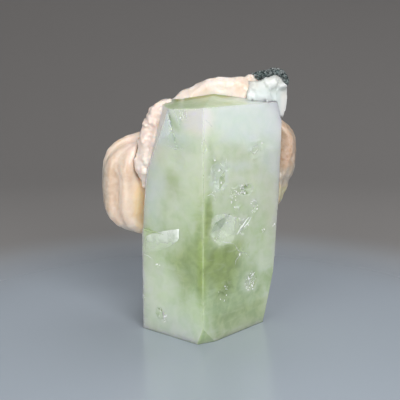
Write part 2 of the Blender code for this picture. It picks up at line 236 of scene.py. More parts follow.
def scatterTree():
    # every grain is a stretched, turned lump of few faces, sunk a little into the surface
    tree = bpy.data.node_groups.new("grainScatter", "GeometryNodeTree")
    tree.interface.new_socket("Surface", in_out="INPUT", socket_type="NodeSocketGeometry")
    addInputs(tree, {
        "Density": 1.0, "Spacing": 0.3, "Small": 0.3, "Large": 0.8, "Stretch": 1.5, "Sink": 0.1,
        "Blocky": False, "Seed": 1,
    })
    tree.interface.new_socket("Finish", in_out="INPUT", socket_type="NodeSocketMaterial")
    tree.interface.new_socket("Grains", in_out="OUTPUT", socket_type="NodeSocketGeometry")
    start = tree.nodes.new("NodeGroupInput").outputs
    end = tree.nodes.new("NodeGroupOutput").inputs

    def add(kind, inputs=(), **settings):
        return addNode(tree, kind, inputs, **settings).outputs

    def random3(low, high, offset):
        seed = add("ShaderNodeMath", {0: start["Seed"], 1: offset})[0]
        ends = {"Min": low, "Max": high, "Seed": seed}
        return add("FunctionNodeRandomValue", ends, data_type="FLOAT_VECTOR")["Value"]

    density = add("GeometryNodeInputNamedAttribute", {"Name": "grains"}, data_type="FLOAT")
    spread = add("GeometryNodeDistributePointsOnFaces", {
        "Mesh": start["Surface"],
        "Distance Min": start["Spacing"],
        "Density Max": start["Density"],
        "Density Factor": density["Attribute"],
        "Seed": start["Seed"],
    }, distribute_method="POISSON")

    # each grain leans its own way
    most = Vector((0.7, 0.7, math.pi))
    turn = add("FunctionNodeEulerToRotation", {"Euler": random3(-most, most, 11)})
    lean = add("FunctionNodeRotateRotation", {
        "Rotation": spread["Rotation"], "Rotate By": turn["Rotation"],
    }, rotation_space="LOCAL")

    # and has its own size and shape
    size = add("FunctionNodeRandomValue", {
        2: start["Small"], 3: start["Large"], "Seed": start["Seed"],
    }, data_type="FLOAT")
    shape = random3((0.75, 0.75, 0.9), (1.2, 1.2, 1.0), 5)
    tall = add("ShaderNodeCombineXYZ", {"X": 1.0, "Y": 1.0, "Z": start["Stretch"]})
    stretched = add("ShaderNodeVectorMath", {0: shape, 1: tall["Vector"]}, operation="MULTIPLY")
    scale = add("ShaderNodeVectorMath", {0: stretched["Vector"], "Scale": size[1]}, operation="SCALE")
    lump = add("GeometryNodeMeshIcoSphere", {"Radius": 0.5, "Subdivisions": 1})
    block = add("GeometryNodeMeshCube", {"Size": (0.9, 0.9, 0.9)})
    choice = add("GeometryNodeSwitch", {
        "Switch": start["Blocky"], "False": lump["Mesh"], "True": block["Mesh"],
    }, input_type="GEOMETRY")

    instances = add("GeometryNodeInstanceOnPoints", {
        "Points": spread["Points"],
        "Instance": choice["Output"],
        "Rotation": lean["Rotation"],
        "Scale": scale["Vector"],
    })
    deep = add("ShaderNodeMath", {0: start["Sink"], 1: -1.0}, operation="MULTIPLY")
    down = add("ShaderNodeCombineXYZ", {"Z": deep[0]})
    sunk = add("GeometryNodeTranslateInstances", {
        "Instances": instances["Instances"], "Translation": down["Vector"],
    })
    real = add("GeometryNodeRealizeInstances", {"Geometry": sunk["Instances"]})
    finish = add("GeometryNodeSetMaterial", {"Geometry": real["Geometry"], "Material": start["Finish"]})
    tree.links.new(finish["Geometry"], end["Grains"])
    return tree


scatter = scatterTree()


def grainsOn(mesh, values):
    # the scatter's result over a mesh in millimetres, as a plain mesh
    thing = helperObject("scattering", mesh)
    modifier = thing.modifiers.new("grains", "NODES")
    modifier.node_group = scatter
    for label, value in values.items():
        modifier[socketNamed(scatter, label)] = value
    made = evaluatedMesh(thing)
    bpy.data.objects.remove(thing)
    return made


# shader groups that several materials share

def newGroup(name, inputs, outputs):
    tree = bpy.data.node_groups.new(name, "ShaderNodeTree")
    addInputs(tree, inputs)
    for label in outputs:
        tree.interface.new_socket(label, in_out="OUTPUT", socket_type="NodeSocketFloat")
    return tree, tree.nodes.new("NodeGroupInput").outputs, tree.nodes.new("NodeGroupOutput").inputs


def vectorMath(tree, operation, first, second):
    other = "Scale" if operation == "SCALE" else 1
    node = addNode(tree, "ShaderNodeVectorMath", {0: first, other: second}, operation=operation)
    return node.outputs["Vector"]


def product(tree, first, second):
    return addNode(tree, "ShaderNodeMath", {0: first, 1: second}, operation="MULTIPLY").outputs[0]


def ramp(tree, value, low, high, outLow=0.0, outHigh=1.0):
    node = addNode(tree, "ShaderNodeMapRange", {
        "Value": value, "From Min": low, "From Max": high, "To Min": outLow, "To Max": outHigh,
    }, interpolation_type="SMOOTHSTEP")
    return node.outputs["Result"]


def noiseTexture(tree, place, scale, detail, roughness, distortion=0.0):
    node = addNode(tree, "ShaderNodeTexNoise", {
        "Vector": place, "Scale": scale, "Detail": detail, "Roughness": roughness, "Distortion": distortion,
    })
    return node.outputs["Fac"]


def mixColour(tree, share, first, second, blend="MIX"):
    colours = {"Factor": share, 6: first, 7: second}
    return addNode(tree, "ShaderNodeMix", colours, data_type="RGBA", blend_type=blend).outputs[2]


def streakGroup():
    # fine lines: a noise stretched along one direction
    tree, inputs, outputs = newGroup("fineStreaks", {
        "Place": (0, 0, 0), "Across": (1, 1, 0.1), "Scale": 1.0, "Low": 0.35, "High": 0.65,
    }, ["Mask"])
    stretched = vectorMath(tree, "MULTIPLY", inputs["Place"], inputs["Across"])
    lines = noiseTexture(tree, stretched, inputs["Scale"], 3.0, 0.6)
    tree.links.new(ramp(tree, lines, inputs["Low"], inputs["High"]), outputs["Mask"])
    return tree


def mottleGroup():
    # mottling of two sizes
    tree, inputs, outputs = newGroup("mottle", {
        "Place": (0, 0, 0), "Coarse": 0.3, "Fine": 1.0, "Low": 0.35, "High": 0.65,
    }, ["Mask", "Fine Mask"])
    coarse = noiseTexture(tree, inputs["Place"], inputs["Coarse"], 3.0, 0.55, 0.5)
    fine = noiseTexture(tree, inputs["Place"], inputs["Fine"], 2.0, 0.6)
    tree.links.new(ramp(tree, coarse, inputs["Low"], inputs["High"]), outputs["Mask"])
    tree.links.new(ramp(tree, fine, inputs["Low"], inputs["High"]), outputs["Fine Mask"])
    return tree


groups = {
    "streaks": streakGroup(),
    "mottle": mottleGroup(),
}


def useGroup(tree, name, values):
    return addNode(tree, "ShaderNodeGroup", values, node_tree=groups[name]).outputs


def newMaterial(name):
    # also gives the point in millimetres, from the piece's own coordinates
    made = bpy.data.materials.new(name)
    made.use_nodes = True
    tree = made.node_tree
    coordinate = tree.nodes.new("ShaderNodeTexCoord")
    place = vectorMath(tree, "SCALE", coordinate.outputs["Object"], 1 / mm)
    return made, tree, tree.nodes["Principled BSDF"], place


def pointValue(tree, name, output="Fac"):
    return addNode(tree, "ShaderNodeAttribute", attribute_name=name).outputs[output]


def bumpFrom(tree, height, distance, strength, before=None):
    inputs = {"Strength": strength, "Distance": distance * mm, "Height": height}
    if before is not None:
        inputs["Normal"] = before
    return addNode(tree, "ShaderNodeBump", inputs).outputs["Normal"]


# the green crystal

crystal = {
    "colour": (0.66, 0.78, 0.53),
    "milk": (0.81, 0.89, 0.73),
    "olive": (0.32, 0.42, 0.12),
    "grassy": (0.44, 0.56, 0.30),
    "mossy": (0.31, 0.37, 0.04),
    "leafy": (0.56, 0.69, 0.42),
    "paleBlue": (0.80, 0.90, 0.87),
    "pinkish": (0.80, 0.81, 0.70),
    "warmWhite": (0.99, 0.97, 0.90),
    "transmission": 0.32,
    "absorb": (0.62, 0.82, 0.40),
    "density": 14.0,
    "edge": 0.22,  # width of the rounded edges
    "grid": 0.7,  # length of the mesh's edges, and the same where the face is broken
    "fineGrid": 0.36,
    "footRim": 0.5,  # below this height the crystal stays plain
    "relief": {
        "wave": 0.07, "ripple": 0.022, "growth": 0.012, "step": 0.06, "facet": 0.13, "smallFacet": 0.05,
        "nick": 0.30,
    },
    "flakes": {
        "Density": 4.0, "Spacing": 0.35, "Small": 0.2, "Large": 0.6, "Stretch": 0.2, "Sink": 0.02, "Seed": 2,
        "Blocky": True,
    },
}
# the low step along the strip on the left face: where it lies and how often it is smoothed
crease = {"along": 13.0, "reach": 1.6, "deep": 2.0, "foot": 29.0, "head": 58.0, "rounds": 12}


def faceZone(face, at, size, colour, soft, strength, rim="broad", lean=0, deep=2.5, boxy=False):
    ways = faces[face]["way"], faces[face]["inward"]
    return softZone(onFace(face, *at), size, crystal[colour], deep, soft, strength, rim, lean, boxy, ways)


zoneRows = {
    # place and size along the face and up, colour, softness, strength, rim, lean in degrees, depth, boxy
    "right": [
        # partly the crystal's milky blue, partly painted sheen: the reflection high on the right face
        ((20.5, 58.5), (18.5, 8.5), "paleBlue", 0.3, 0.85, "broad", -4),
        ((31.0, 36.0), (6.5, 12.0), "pinkish", 0.5, 0.6),
        ((24.0, 38.0), (7.0, 9.0), "milk", 0.8, 0.35),
        # painted sheen where that reflection runs down the right face's far side, over a milky tone
        ((29.5, 46.0), (5.5, 5.0), "paleBlue", 0.5, 0.55),
        ((14.0, 12.5), (16.0, 7.0), "grassy", 0.5, 0.9),
        ((7.5, 19.5), (7.5, 7.5), "olive", 0.45, 0.95),
        ((2.3, 32.5), (1.7, 6.5), "olive", 0.5, 0.72, "crisp"),
        ((0.2, 24.0), (1.6, 12.0), "olive", 0.5, 0.45, "crisp"),
        ((1.8, 48.0), (2.6, 5.0), "grassy", 0.4, 0.5),
        ((16.0, 41.6), (9.0, 1.0), "milk", 0.6, 0.6, "crisp", -5),
        ((13.0, 45.6), (6.0, 1.1), "paleBlue", 0.6, 0.5, "crisp", -5),
        ((20.0, 35.5), (6.0, 1.0), "milk", 0.6, 0.5, "crisp", -5),
        ((8.0, 29.6), (5.4, 4.1), "milk", 0.3, 0.8, "crisp"),
        ((14.8, 30.4), (5.2, 1.9), "milk", 0.2, 0.8, "crisp", -8),
        ((6.2, 43.4), (3.8, 3.8), "paleBlue", 0.25, 0.5, "crisp"),
        ((25.8, 17.0), (3.4, 2.2), "milk", 0.6, 0.6, "crisp"),
        ((19.5, 13.0), (3.6, 2.8), "milk", 0.6, 0.6, "crisp"),
        ((16.0, 2.6), (11.5, 4.4), "olive", 0.25, 0.45, "crisp", 0, 2.5, True),
    ],
    "left": [
        ((8.0, 48.0), (11.0, 12.0), "milk", 0.4, 0.75),
        # painted sheen on the steep upper-left facet, over its pale tone
        ((13.6, 56.0), (4.2, 6.2), "paleBlue", 0.4, 0.9),
        ((8.7, 52.6), (3.4, 2.0), "paleBlue", 0.3, 0.5, "crisp"),
        ((9.0, 53.0), (9.0, 5.5), "paleBlue", 0.8, 0.4),
        ((15.8, 48.0), (3.4, 2.2), "pinkish", 0.4, 0.7),
        ((10.0, 57.0), (2.9, 0.6), "grassy", 0.4, 0.45, "crisp", 53),
        ((10.5, 41.2), (3.4, 2.8), "olive", 0.8, 0.35),
        ((8.5, 48.8), (7.0, 1.1), "milk", 0.6, 0.8, "crisp"),
        ((7.0, 51.8), (6.0, 1.8), "grassy", 0.6, 0.25),
        ((16.9, 37.0), (3.2, 8.0), "paleBlue", 0.8, 0.7),
        ((4.6, 20.8), (7.0, 7.2), "olive", 0.5, 0.62),
        ((1.0, 33.0), (1.5, 9.0), "olive", 0.5, 0.2),
        ((10.0, 4.0), (12.0, 5.0), "paleBlue", 0.5, 0.35),
        ((16.0, 13.0), (6.0, 7.0), "milk", 0.5, 0.6),
        ((2.0, 57.9), (4.2, 3.4), "warmWhite", 0.5, 1.0, "crisp", 0, 4.0),
    ],
}
faceZones = [faceZone(face, *row) for face, rows in zoneRows.items() for row in rows]

topZones = [
    softZone((-3.0, -7.0, 61.8), (16.0, 5.0), crystal["leafy"], 9.0, 0.4, 0.9),
    softZone((-2.0, 3.6, 62.8), (13.0, 5.0), crystal["mossy"], 5.0, 0.4, 1.0, "crisp"),
    softZone((14.5, 0.5, 62.0), (7.5, 5.0), crystal["paleBlue"], 7.0, 0.4, 0.95),
]

brokenSpots = {
    # place along the face and up, reach, how rough, how many flakes
    "right": [
        ((8.0, 29.6), 5.2, 0.2, 0.1),
        ((16.4, 29.4), 2.8, 0.9, 0.5),
        ((12.4, 37.6), 2.6, 0.7, 0.8),
        ((15.8, 39.2), 2.2, 0.7, 1.0),
        ((6.2, 43.4), 4.2, 0.6, 0.25),
        ((4.2, 38.6), 1.8, 0.6, 0.5),
        ((19.6, 13.2), 3.2, 0.8, 0.9),
        ((8.3, 12.6), 3.2, 0.7, 0.45),
        ((14.2, 22.4), 2.0, 0.8, 0.5),
        ((20.6, 34.0), 2.3, 0.7, 0.7),
        ((21.6, 49.0), 3.0, 0.25, 0.5),
        ((25.1, 26.5), 0.8, 0.6, 1.0),
        ((30.0, 26.8), 0.8, 0.6, 0.8),
        ((4.1, 47.8), 0.7, 0.6, 1.0),
        ((13.6, 34.6), 1.6, 0.6, 0.4),
    ],
    "left": [
        ((14.2, 5.2), 2.2, 0.8, 0.6),
        ((15.8, 18.9), 0.8, 0.6, 1.0),
        ((11.4, 56.8), 0.7, 0.6, 1.0),
        ((6.6, 58.8), 2.2, 0.5, 0.25),
        ((21.6, 9.4), 1.0, 0.7, 0.8),
    ],
}
brokenPlaces = [(onFace(face, *at), *more) for face, rows in brokenSpots.items() for at, *more in rows]


def brokenAt(point, margin=0.0):
    # how broken the surface is at a point, and how thick its flakes lie
    ragged = 0.45 * noise.noise(point * 0.6)
    most = 0.0
    thick = 0.0
    for spot, reach, rough, flakes in brokenPlaces:
        if abs(point.z - spot.z) > reach * 1.5 + margin:
            continue
        share = 1.0 - smooth(0.65, 1.05, ((point - spot).length - margin) / reach + ragged)
        most = max(most, rough * share)
        thick = max(thick, flakes * share)
    return most, thick


def facetHeight(point, size, seed):
    # flat facets, each tilted its own way
    at = point / size + Vector((seed, 2.3 * seed, 0.7 * seed))
    middle = noise.voronoi(at)[1][0]
    tilt = noise.cell_vector(middle * 9.1) * 2.0 - Vector((1.0, 1.0, 1.0))
    return (at - middle).dot(tilt) * size


def flatNoise(point, acrossX, acrossY, seed):
    return noise.noise(Vector((point.x * acrossX, point.y * acrossY, seed)))


def edgeShare(normal, low=0.93, high=0.99):
    # 1 on the prism's rounded edges and 0 on its front and top faces
    flat = max(abs(normal.dot(rightNormal)), abs(normal.dot(leftNormal)), abs(normal.z))
    return 1.0 - smooth(low, high, flat)


def crystalRelief(point, normal):
    # low growth relief, faceted where the face is broken, with nicks along the edges
    if point.z < crystal["footRim"]:
        return 0.0
    high = crystal["relief"]
    upright = 1.0 - abs(normal.z)
    wave = high["wave"] * noise.noise(point * 0.12)
    ripple = high["ripple"] * noise.noise(point * 0.33 + Vector((4.0, 0.0, 0.0)))
    growth = high["growth"] * noise.noise(Vector((point.x * 0.1, point.y * 0.1, point.z * 1.3))) * upright
    steps = high["step"] * flatNoise(point, 0.5, 1.4, 3.0) * (1.0 - upright)
    facets = facetHeight(point, 2.3, 1.0) * high["facet"] + facetHeight(point, 1.1, 2.0) * high["smallFacet"]
    nicked = smooth(0.30, 0.62, noise.noise(point * 0.5 + Vector((7.0, 3.0, 1.0))))
    nick = high["nick"] * nicked * edgeShare(normal, 0.90, 0.995)
    return wave + ripple + growth + steps + brokenAt(point)[0] * facets - nick


def topHatch(point):
    # pale lines on the top face: level ones at its right end, upright ones at its left end
    level = smooth(-0.1, 0.35, flatNoise(point, 0.12, 0.55, 2.0)) * smooth(0.0, 7.0, point.x)
    upright = smooth(-0.1, 0.3, flatNoise(point, 0.8, 0.1, 4.0)) * smooth(-3.0, -8.0, point.x)
    return max(level, upright)


def crystalTint(point, normal):
    def mixed(name, share):
        return colour.lerp(Vector(crystal[name]), share)

    clouds = smooth(-0.4, 0.5, noise.fractal(point * 0.07, 1.0, 2.0, 3))
    small = smooth(0.0, 0.5, noise.fractal(point * 0.35, 1.0, 2.0, 2))
    colour = Vector(crystal["colour"])
    # milkier in the clouds and towards the top; the paler top is partly the crystal's whitish upper part,
    # partly painted sheen
    colour = mixed("milk", 0.08 + 0.40 * clouds + 0.42 * smooth(28.0, 48.0, point.z))
    colour = mixed("grassy", 0.18 * small)
    if normal.z > 0.7:
        colour = paintedOver(colour, topZones, point)
        colour = mixed("milk", 0.75 * topHatch(point))
    else:
        colour = paintedOver(colour, faceZones, point)
    # painted shade: the rounded edges catch the key light, so they are tinted darker, leafy high up and
    # grassy lower down
    edge = edgeShare(normal)
    high = smooth(44.0, 54.0, point.z)
    colour = mixed("leafy", 0.35 * edge * high)
    colour = mixed("grassy", 0.85 * edge * (1.0 - high))
    # painted light: the steep left face, which lies in shade beside the band, is whitened to a painted sheen;
    # the upper part of the right edge is whitened too
    rightEdge = edge * smooth(14.0, 16.0, point.x) * smooth(34.0, 44.0, point.z)
    return mixed("warmWhite", max(smooth(0.72, 0.85, -normal.x), rightEdge))


def crystalGloss(point, normal):
    # the top, the steep left face and the upper part of the edges are duller
    dullEdge = edgeShare(normal) * smooth(40.0, 48.0, point.z)
    return 1.0 - 0.85 * max(smooth(0.5, 0.8, normal.z), smooth(0.75, 0.9, -normal.x), dullEdge)


def crystalMaterial():
    made, tree, shader, place = newMaterial("greenCrystal")
    fine = useGroup(tree, "mottle", {"Place": place, "Fine": 0.8, "Low": 0.3, "High": 0.7})
    growth = useGroup(tree, "streaks", {
        "Place": place, "Across": (0.22, 0.22, 1.0), "Scale": 0.5, "Low": 0.5, "High": 0.75,
    })
    base = mixColour(tree, 0.14, pointValue(tree, "tint", "Color"), fine["Mask"], "OVERLAY")
    gloss = pointValue(tree, "gloss")
    dull = ramp(tree, gloss, 0.1, 1.0, 0.35, 0.14)
    specks = product(tree, fine["Fine Mask"], 0.1)
    setInputs(tree, shader, {
        "Base Color": mixColour(tree, product(tree, growth["Mask"], 0.22), base, (*crystal["milk"], 1)),
        "Normal": bumpFrom(tree, fine["Mask"], 0.06, 0.35),
        "Roughness": addNode(tree, "ShaderNodeMath", {0: dull, 1: specks}).outputs[0],
        "Coat Weight": product(tree, gloss, 0.8),
        "Coat Roughness": 0.10,
        "Coat IOR": 1.5,
        "IOR": 1.535,
        "Transmission Weight": crystal["transmission"],
        "Subsurface Weight": 1.0,
        "Subsurface Radius": (0.9, 0.95, 0.7),
        "Subsurface Scale": 6 * mm,
    })
    volume = addNode(tree, "ShaderNodeVolumeAbsorption", {
        "Color": (*crystal["absorb"], 1), "Density": crystal["density"],
    })
    tree.links.new(volume.outputs["Volume"], tree.nodes["Material Output"].inputs["Volume"])
    return made


def longEdges(shape, shortest, angle):
    # the outer edges that are long and sharp enough to be rounded
    sharp = math.radians(angle)
    return [
        edge for edge in shape.edges
        if edge.calc_length() > shortest and edge.is_manifold and edge.calc_face_angle_signed(0.0) > sharp
    ]


def cutByGrid(shape, spacing):
    # even cuts along the three axes, a little off the corners
    offGrid = 0.37
    reaches = [[vertex.co[axis] for vertex in shape.verts] for axis in range(3)]
    for axis, reach in enumerate(reaches):
        low = min(reach)
        normal = Vector((0, 0, 0))
        normal[axis] = 1.0
        for step in range(1, int((max(reach) - low) / spacing) + 1):
            cut = normal * (low + spacing * (step - offGrid))
            every = list(shape.verts) + list(shape.edges) + list(shape.faces)
            bmesh.ops.bisect_plane(shape, geom=every, plane_co=cut, plane_no=normal, dist=0.0005)


def refineBroken(shape, longest):
    # shorter edges where the surface is broken
    for _ in range(2):
        edges = []
        for edge in shape.edges:
            middle = (edge.verts[0].co + edge.verts[1].co) / 2
            if edge.calc_length() > longest and brokenAt(middle, 0.4)[0] > 0.0:
                edges.append(edge)
        bmesh.ops.subdivide_edges(shape, edges=edges, cuts=1)
        bmesh.ops.triangulate(shape, faces=shape.faces)


def softenCrease(shape):
    near = []
    for vertex in shape.verts:
        away = vertex.co - frontEdge
        beside = abs(away.dot(leftWay) - crease["along"]) < crease["reach"]
        level = crease["foot"] < vertex.co.z < crease["head"]
        if beside and level and away.dot(rightWay) < crease["deep"]:
            near.append(vertex)
    axes = {"use_axis_x": True, "use_axis_y": True, "use_axis_z": True}
    for _ in range(crease["rounds"]):
        bmesh.ops.smooth_vert(shape, verts=near, factor=0.5, **axes)


def flakeMaterial():
    made, tree, shader, place = newMaterial("brightFlakes")
    cloud = useGroup(tree, "mottle", {"Place": place, "Coarse": 0.5})
    # near-white chips, their whiteness partly painted glints
    setInputs(tree, shader, {
        "Base Color": mixColour(tree, cloud["Mask"], (0.96, 0.98, 0.93, 1), (0.82, 0.90, 0.78, 1)),
        "Roughness": 0.08,
        "Coat Weight": 1.0,
        "Coat Roughness": 0.03,
    })
    return made


def crystalBody():
    shape = mergedCopy("apophyllite_crystal")
    bmesh.ops.dissolve_limit(shape, angle_limit=math.radians(0.4), verts=shape.verts, edges=shape.edges)
    rounding = {"offset": crystal["edge"], "segments": 2, "profile": 0.5, "clamp_overlap": False}
    bmesh.ops.bevel(shape, geom=longEdges(shape, 4.0, 14.0), affect="EDGES", **rounding)
    bmesh.ops.triangulate(shape, faces=shape.faces)
    cutByGrid(shape, crystal["grid"])
    bmesh.ops.triangulate(shape, faces=shape.faces)
    refineBroken(shape, crystal["fineGrid"])
    bmesh.ops.dissolve_degenerate(shape, edges=shape.edges, dist=0.01)
    softenCrease(shape)
    mesh = meshFrom("crystalBody", shape)
    tintPoints(mesh, crystalTint)
    displaced(mesh, crystalRelief)
    paintPoints(mesh, "grains", lambda point, normal: brokenAt(point)[1] ** 2)
    paintPoints(mesh, "gloss", crystalGloss)
    skin = bvhOf(mesh)
    flakes = grainsOn(mesh.copy(), {**crystal["flakes"], "Finish": flakeMaterial()})
    finishedPiece("green_crystal", mesh, crystalMaterial(), ["apophyllite_crystal"], sharp=24)
    finishedPiece("bright_flakes", flakes, flakes.materials[0], sharp=20)
    return skin


def bvhOf(mesh):
    return BVHTree.FromPolygons([v.co for v in mesh.vertices], [tuple(p.vertices) for p in mesh.polygons])


print("crystal")
crystalSkin = crystalBody()


# thin bright films on the faces: cleavage planes, cracks and the rims of broken spots

veils = [
    # face and outline: distance from the front edge, height, how clear the film is seen there
    ("left", [
        (19.2, 26.6, 0.6), (13.7, 28.4, 0.7), (8.2, 29.8, 0.8), (8.3, 27.3, 0.7), (8.7, 26.5, 0.6),
        (12.6, 23.8, 0.1), (17.0, 22.3, 0.05), (21.0, 21.2, 0.1), (20.2, 25.9, 0.5),
    ]),
    ("left", [(13.0, 59.3, 0.1), (11.7, 59.3, 0.1), (11.2, 57.0, 0.4), (10.4, 55.2, 0.4), (12.4, 52.6, 0.1),
              (16.0, 52.4, 0.2), (15.8, 55.0, 0.2)]),
    ("right", [(3.2, 33.0, 0.2), (5.0, 33.6, 0.3), (8.5, 33.5, 0.3), (13.4, 32.2, 0.5), (12.8, 27.6, 0.2),
               (7.7, 26.6, 0.1), (4.4, 28.2, 0.1), (3.2, 30.5, 0.1)]),
]

cracks = {
    # width, how clear it is seen and the line that it follows, along the face and up
    "right": [
        # the first two are a painted highlight: the bright line along the rim of the conchoidal chip
        (0.9, 1.0, [(18.6, 31.2), (16.4, 29.4), (14.8, 28.2), (13.6, 27.1)]),
        (0.4, 1.0, [(19.8, 30.9), (18.4, 29.8), (16.8, 28.8)]),
        (0.34, 0.5, [(12.8, 24.6), (13.4, 23.6), (14.2, 22.8), (15.7, 21.9),
                    (14.8, 21.2), (13.4, 20.4), (12.9, 19.2)]),
        (0.26, 0.4, [(15.0, 22.1), (17.2, 21.6), (19.2, 20.2)]),
        (0.30, 0.6, [(6.6, 26.5), (8.4, 26.0), (10.4, 25.6), (12.6, 24.7)]),
        (0.40, 0.75, [(1.0, 57.9), (2.0, 57.4), (3.3, 56.2)]),
        (0.30, 0.75, [(9.0, 47.7), (8.8, 46.6), (9.1, 45.6)]),
        (0.26, 0.5, [(2.6, 45.2), (3.3, 46.4), (4.7, 46.9)]),
        (0.26, 0.5, [(5.6, 40.9), (8.1, 39.9), (9.7, 41.6)]),
        (0.26, 0.5, [(6.6, 45.6), (7.8, 44.6)]),
        (0.26, 0.75, [(13.1, 35.5), (13.5, 34.6), (14.5, 33.3)]),
        (0.28, 0.75, [(1.5, 39.1), (3.0, 39.4), (5.7, 38.0)]),
        (0.30, 0.75, [(18.5, 49.1), (20.6, 48.0), (22.3, 49.0)]),
        (0.24, 0.75, [(18.4, 10.6), (20.0, 13.0), (20.6, 15.4)]),
        (0.24, 0.75, [(19.6, 10.8), (21.4, 12.4), (21.8, 14.4)]),
    ],
    "left": [
        (0.50, 0.35, [(9.8, 60.2), (9.0, 58.4), (7.8, 56.4)]),
        (0.40, 0.35, [(8.2, 60.4), (7.4, 58.9), (6.8, 57.6)]),
        (0.40, 0.30, [(5.9, 60.6), (5.4, 58.9), (4.8, 57.8)]),
        (0.36, 0.30, [(12.6, 51.0), (9.4, 50.2), (6.2, 50.6)]),
        (0.34, 0.75, [(6.8, 59.7), (6.9, 58.9), (6.4, 58.1)]),
        (0.30, 0.75, [(21.2, 21.0), (19.6, 20.7), (18.0, 20.1)]),
        (0.22, 0.35, [(12.9, 54.2), (11.6, 53.3), (11.9, 51.6)]),
    ],
}


# how far a veil and a crack stand off the skin, and how deep both go into it
film = {"veil": 0.05, "crack": 0.06, "sunk": 0.04}


def filmMaterial():
    made, tree, shader, place = newMaterial("thinFilm")
    cloud = useGroup(tree, "mottle", {"Place": place, "Coarse": 0.35, "Low": 0.25, "High": 0.7})
    patchy = ramp(tree, cloud["Mask"], 0.0, 1.0, 0.6, 1.0)
    setInputs(tree, shader, {
        "Alpha": product(tree, pointValue(tree, "veil"), patchy),
        "Base Color": (0.93, 0.97, 0.94, 1),
        "Roughness": 0.25,
        "Coat Weight": 0.5,
        "Coat Roughness": 0.08,
    })
    return made


def addFilm(shape, layer, face, rings, values, lift):
    # a closed sheet that follows the crystal's skin; rings run from the middle outward
    outward = faces[face]["normal"]
    sides = []
    for height in (lift, -film["sunk"]):
        side = []
        for ring, shown in zip(rings, values):
            row = []
            for at, value in zip(ring, shown):
                spot = onFace(face, *at)
                hit = crystalSkin.ray_cast(spot + outward * 3.0, -outward)[0]
                raised = height * max(value, 0.2) if height > 0 else height
                vertex = shape.verts.new((hit if hit is not None else spot) + outward * raised)
                vertex[layer] = value
                row.append(vertex)
            side.append(row)
        sides.append(side)
    return sides


def stitch(shape, first, second, closed):
    count = len(first)
    for i in range(count if closed else count - 1):
        after = (i + 1) % count
        shape.faces.new((first[i], second[i], second[after], first[after]))


def between(first, second, share):
    return [a + (b - a) * share for a, b in zip(first, second)]


def addVeil(shape, layer, face, outline):
    steps = 6
    rim = []
    for first, second in zip(outline, outline[1:] + outline[:1]):
        for step in range(steps):
            along, level, shown = between(first, second, step / steps)
            jitter = noise.noise_vector(Vector((along * 1.3, level * 1.3, 5.0))) * 0.16
            rim.append((along + jitter.x, level + jitter.y, shown))
    middle = [sum(point[k] for point in rim) / len(rim) for k in range(3)]
    rings = []
    values = []
    for share in (0.08, 0.3, 0.5, 0.7, 0.86, 1.0):
        grown = [between(middle, point, share) for point in rim]
        rings.append([point[:2] for point in grown])
        values.append([point[2] for point in grown])
    front, back = addFilm(shape, layer, face, rings, values, film["veil"])
    for side in (front, back):
        shape.faces.new(side[0])
        for inner, outer in zip(side, side[1:]):
            stitch(shape, inner, outer, True)
    stitch(shape, front[-1], back[-1], True)


def addCrack(shape, layer, face, width, shown, line):
    steps = 5
    points = []
    for first, second in zip(line, line[1:]):
        points += [between(first, second, step / steps) for step in range(steps)]
    points.append(line[-1])
    ways = [Vector(b) - Vector(a) for a, b in zip(points, points[1:])]
    ways.append(ways[-1])
    rings = [[], []]
    for i, (point, way) in enumerate(zip(points, ways)):
        side = Vector((-way.y, way.x)).normalized()
        share = min(max(i / (len(points) - 1), 0.04), 0.96)
        uneven = 0.7 + 0.6 * flatNoise(Vector(point), 1.7, 1.7, 9.0)
        half = width / 2 * uneven * (0.25 + 0.75 * math.sin(math.pi * share))
        jitter = 0.12 * flatNoise(Vector(point), 1.1, 1.1, 2.0)
        for sign, ring in zip((-1, 1), rings):
            ring.append([at + turn * (sign * half + jitter) for at, turn in zip(point, side)])
    values = [[shown] * len(points)] * 2
    front, back = addFilm(shape, layer, face, rings, values, film["crack"])
    stitch(shape, front[0], front[1], False)
    stitch(shape, back[0], back[1], False)
    for edge in (0, 1):
        stitch(shape, front[edge], back[edge], False)
    for end in (0, -1):
        shape.faces.new((front[0][end], front[1][end], back[1][end], back[0][end]))


def surfaceFilms():
    shape = bmesh.new()
    layer = shape.verts.layers.float.new("veil")
    for veil in veils:
        addVeil(shape, layer, *veil)
    for face, rows in cracks.items():
        for row in rows:
            addCrack(shape, layer, face, *row)
    bmesh.ops.recalc_face_normals(shape, faces=shape.faces)
    return finishedPiece("surface_films", meshFrom("surfaceFilms", shape), filmMaterial())


print("films")
surfaceFilms()


# stilbite

stilbite = {
    "cream": (0.77, 0.65, 0.54),
    "white": (0.83, 0.76, 0.69),
    "pink": (0.82, 0.67, 0.60),
    "peach": (0.78, 0.62, 0.49),
    "tan": (0.58, 0.41, 0.28),
    "rust": (0.46, 0.29, 0.19),
    "sand": (0.37, 0.28, 0.21),
    "grey": (0.42, 0.38, 0.32),
    "amber": (0.90, 0.68, 0.40),
    "olive": (0.50, 0.52, 0.30),
    "voxel": 0.34,
    "lift": 0.26,  # closes the gap that the solids keep to each other
}


def openZones(rows):
    # place, size along x and up, colour, depth along y, softness and strength, then rim and lean in degrees
    return [softZone(place, size, stilbite[colour], *more) for place, size, colour, *more in rows]


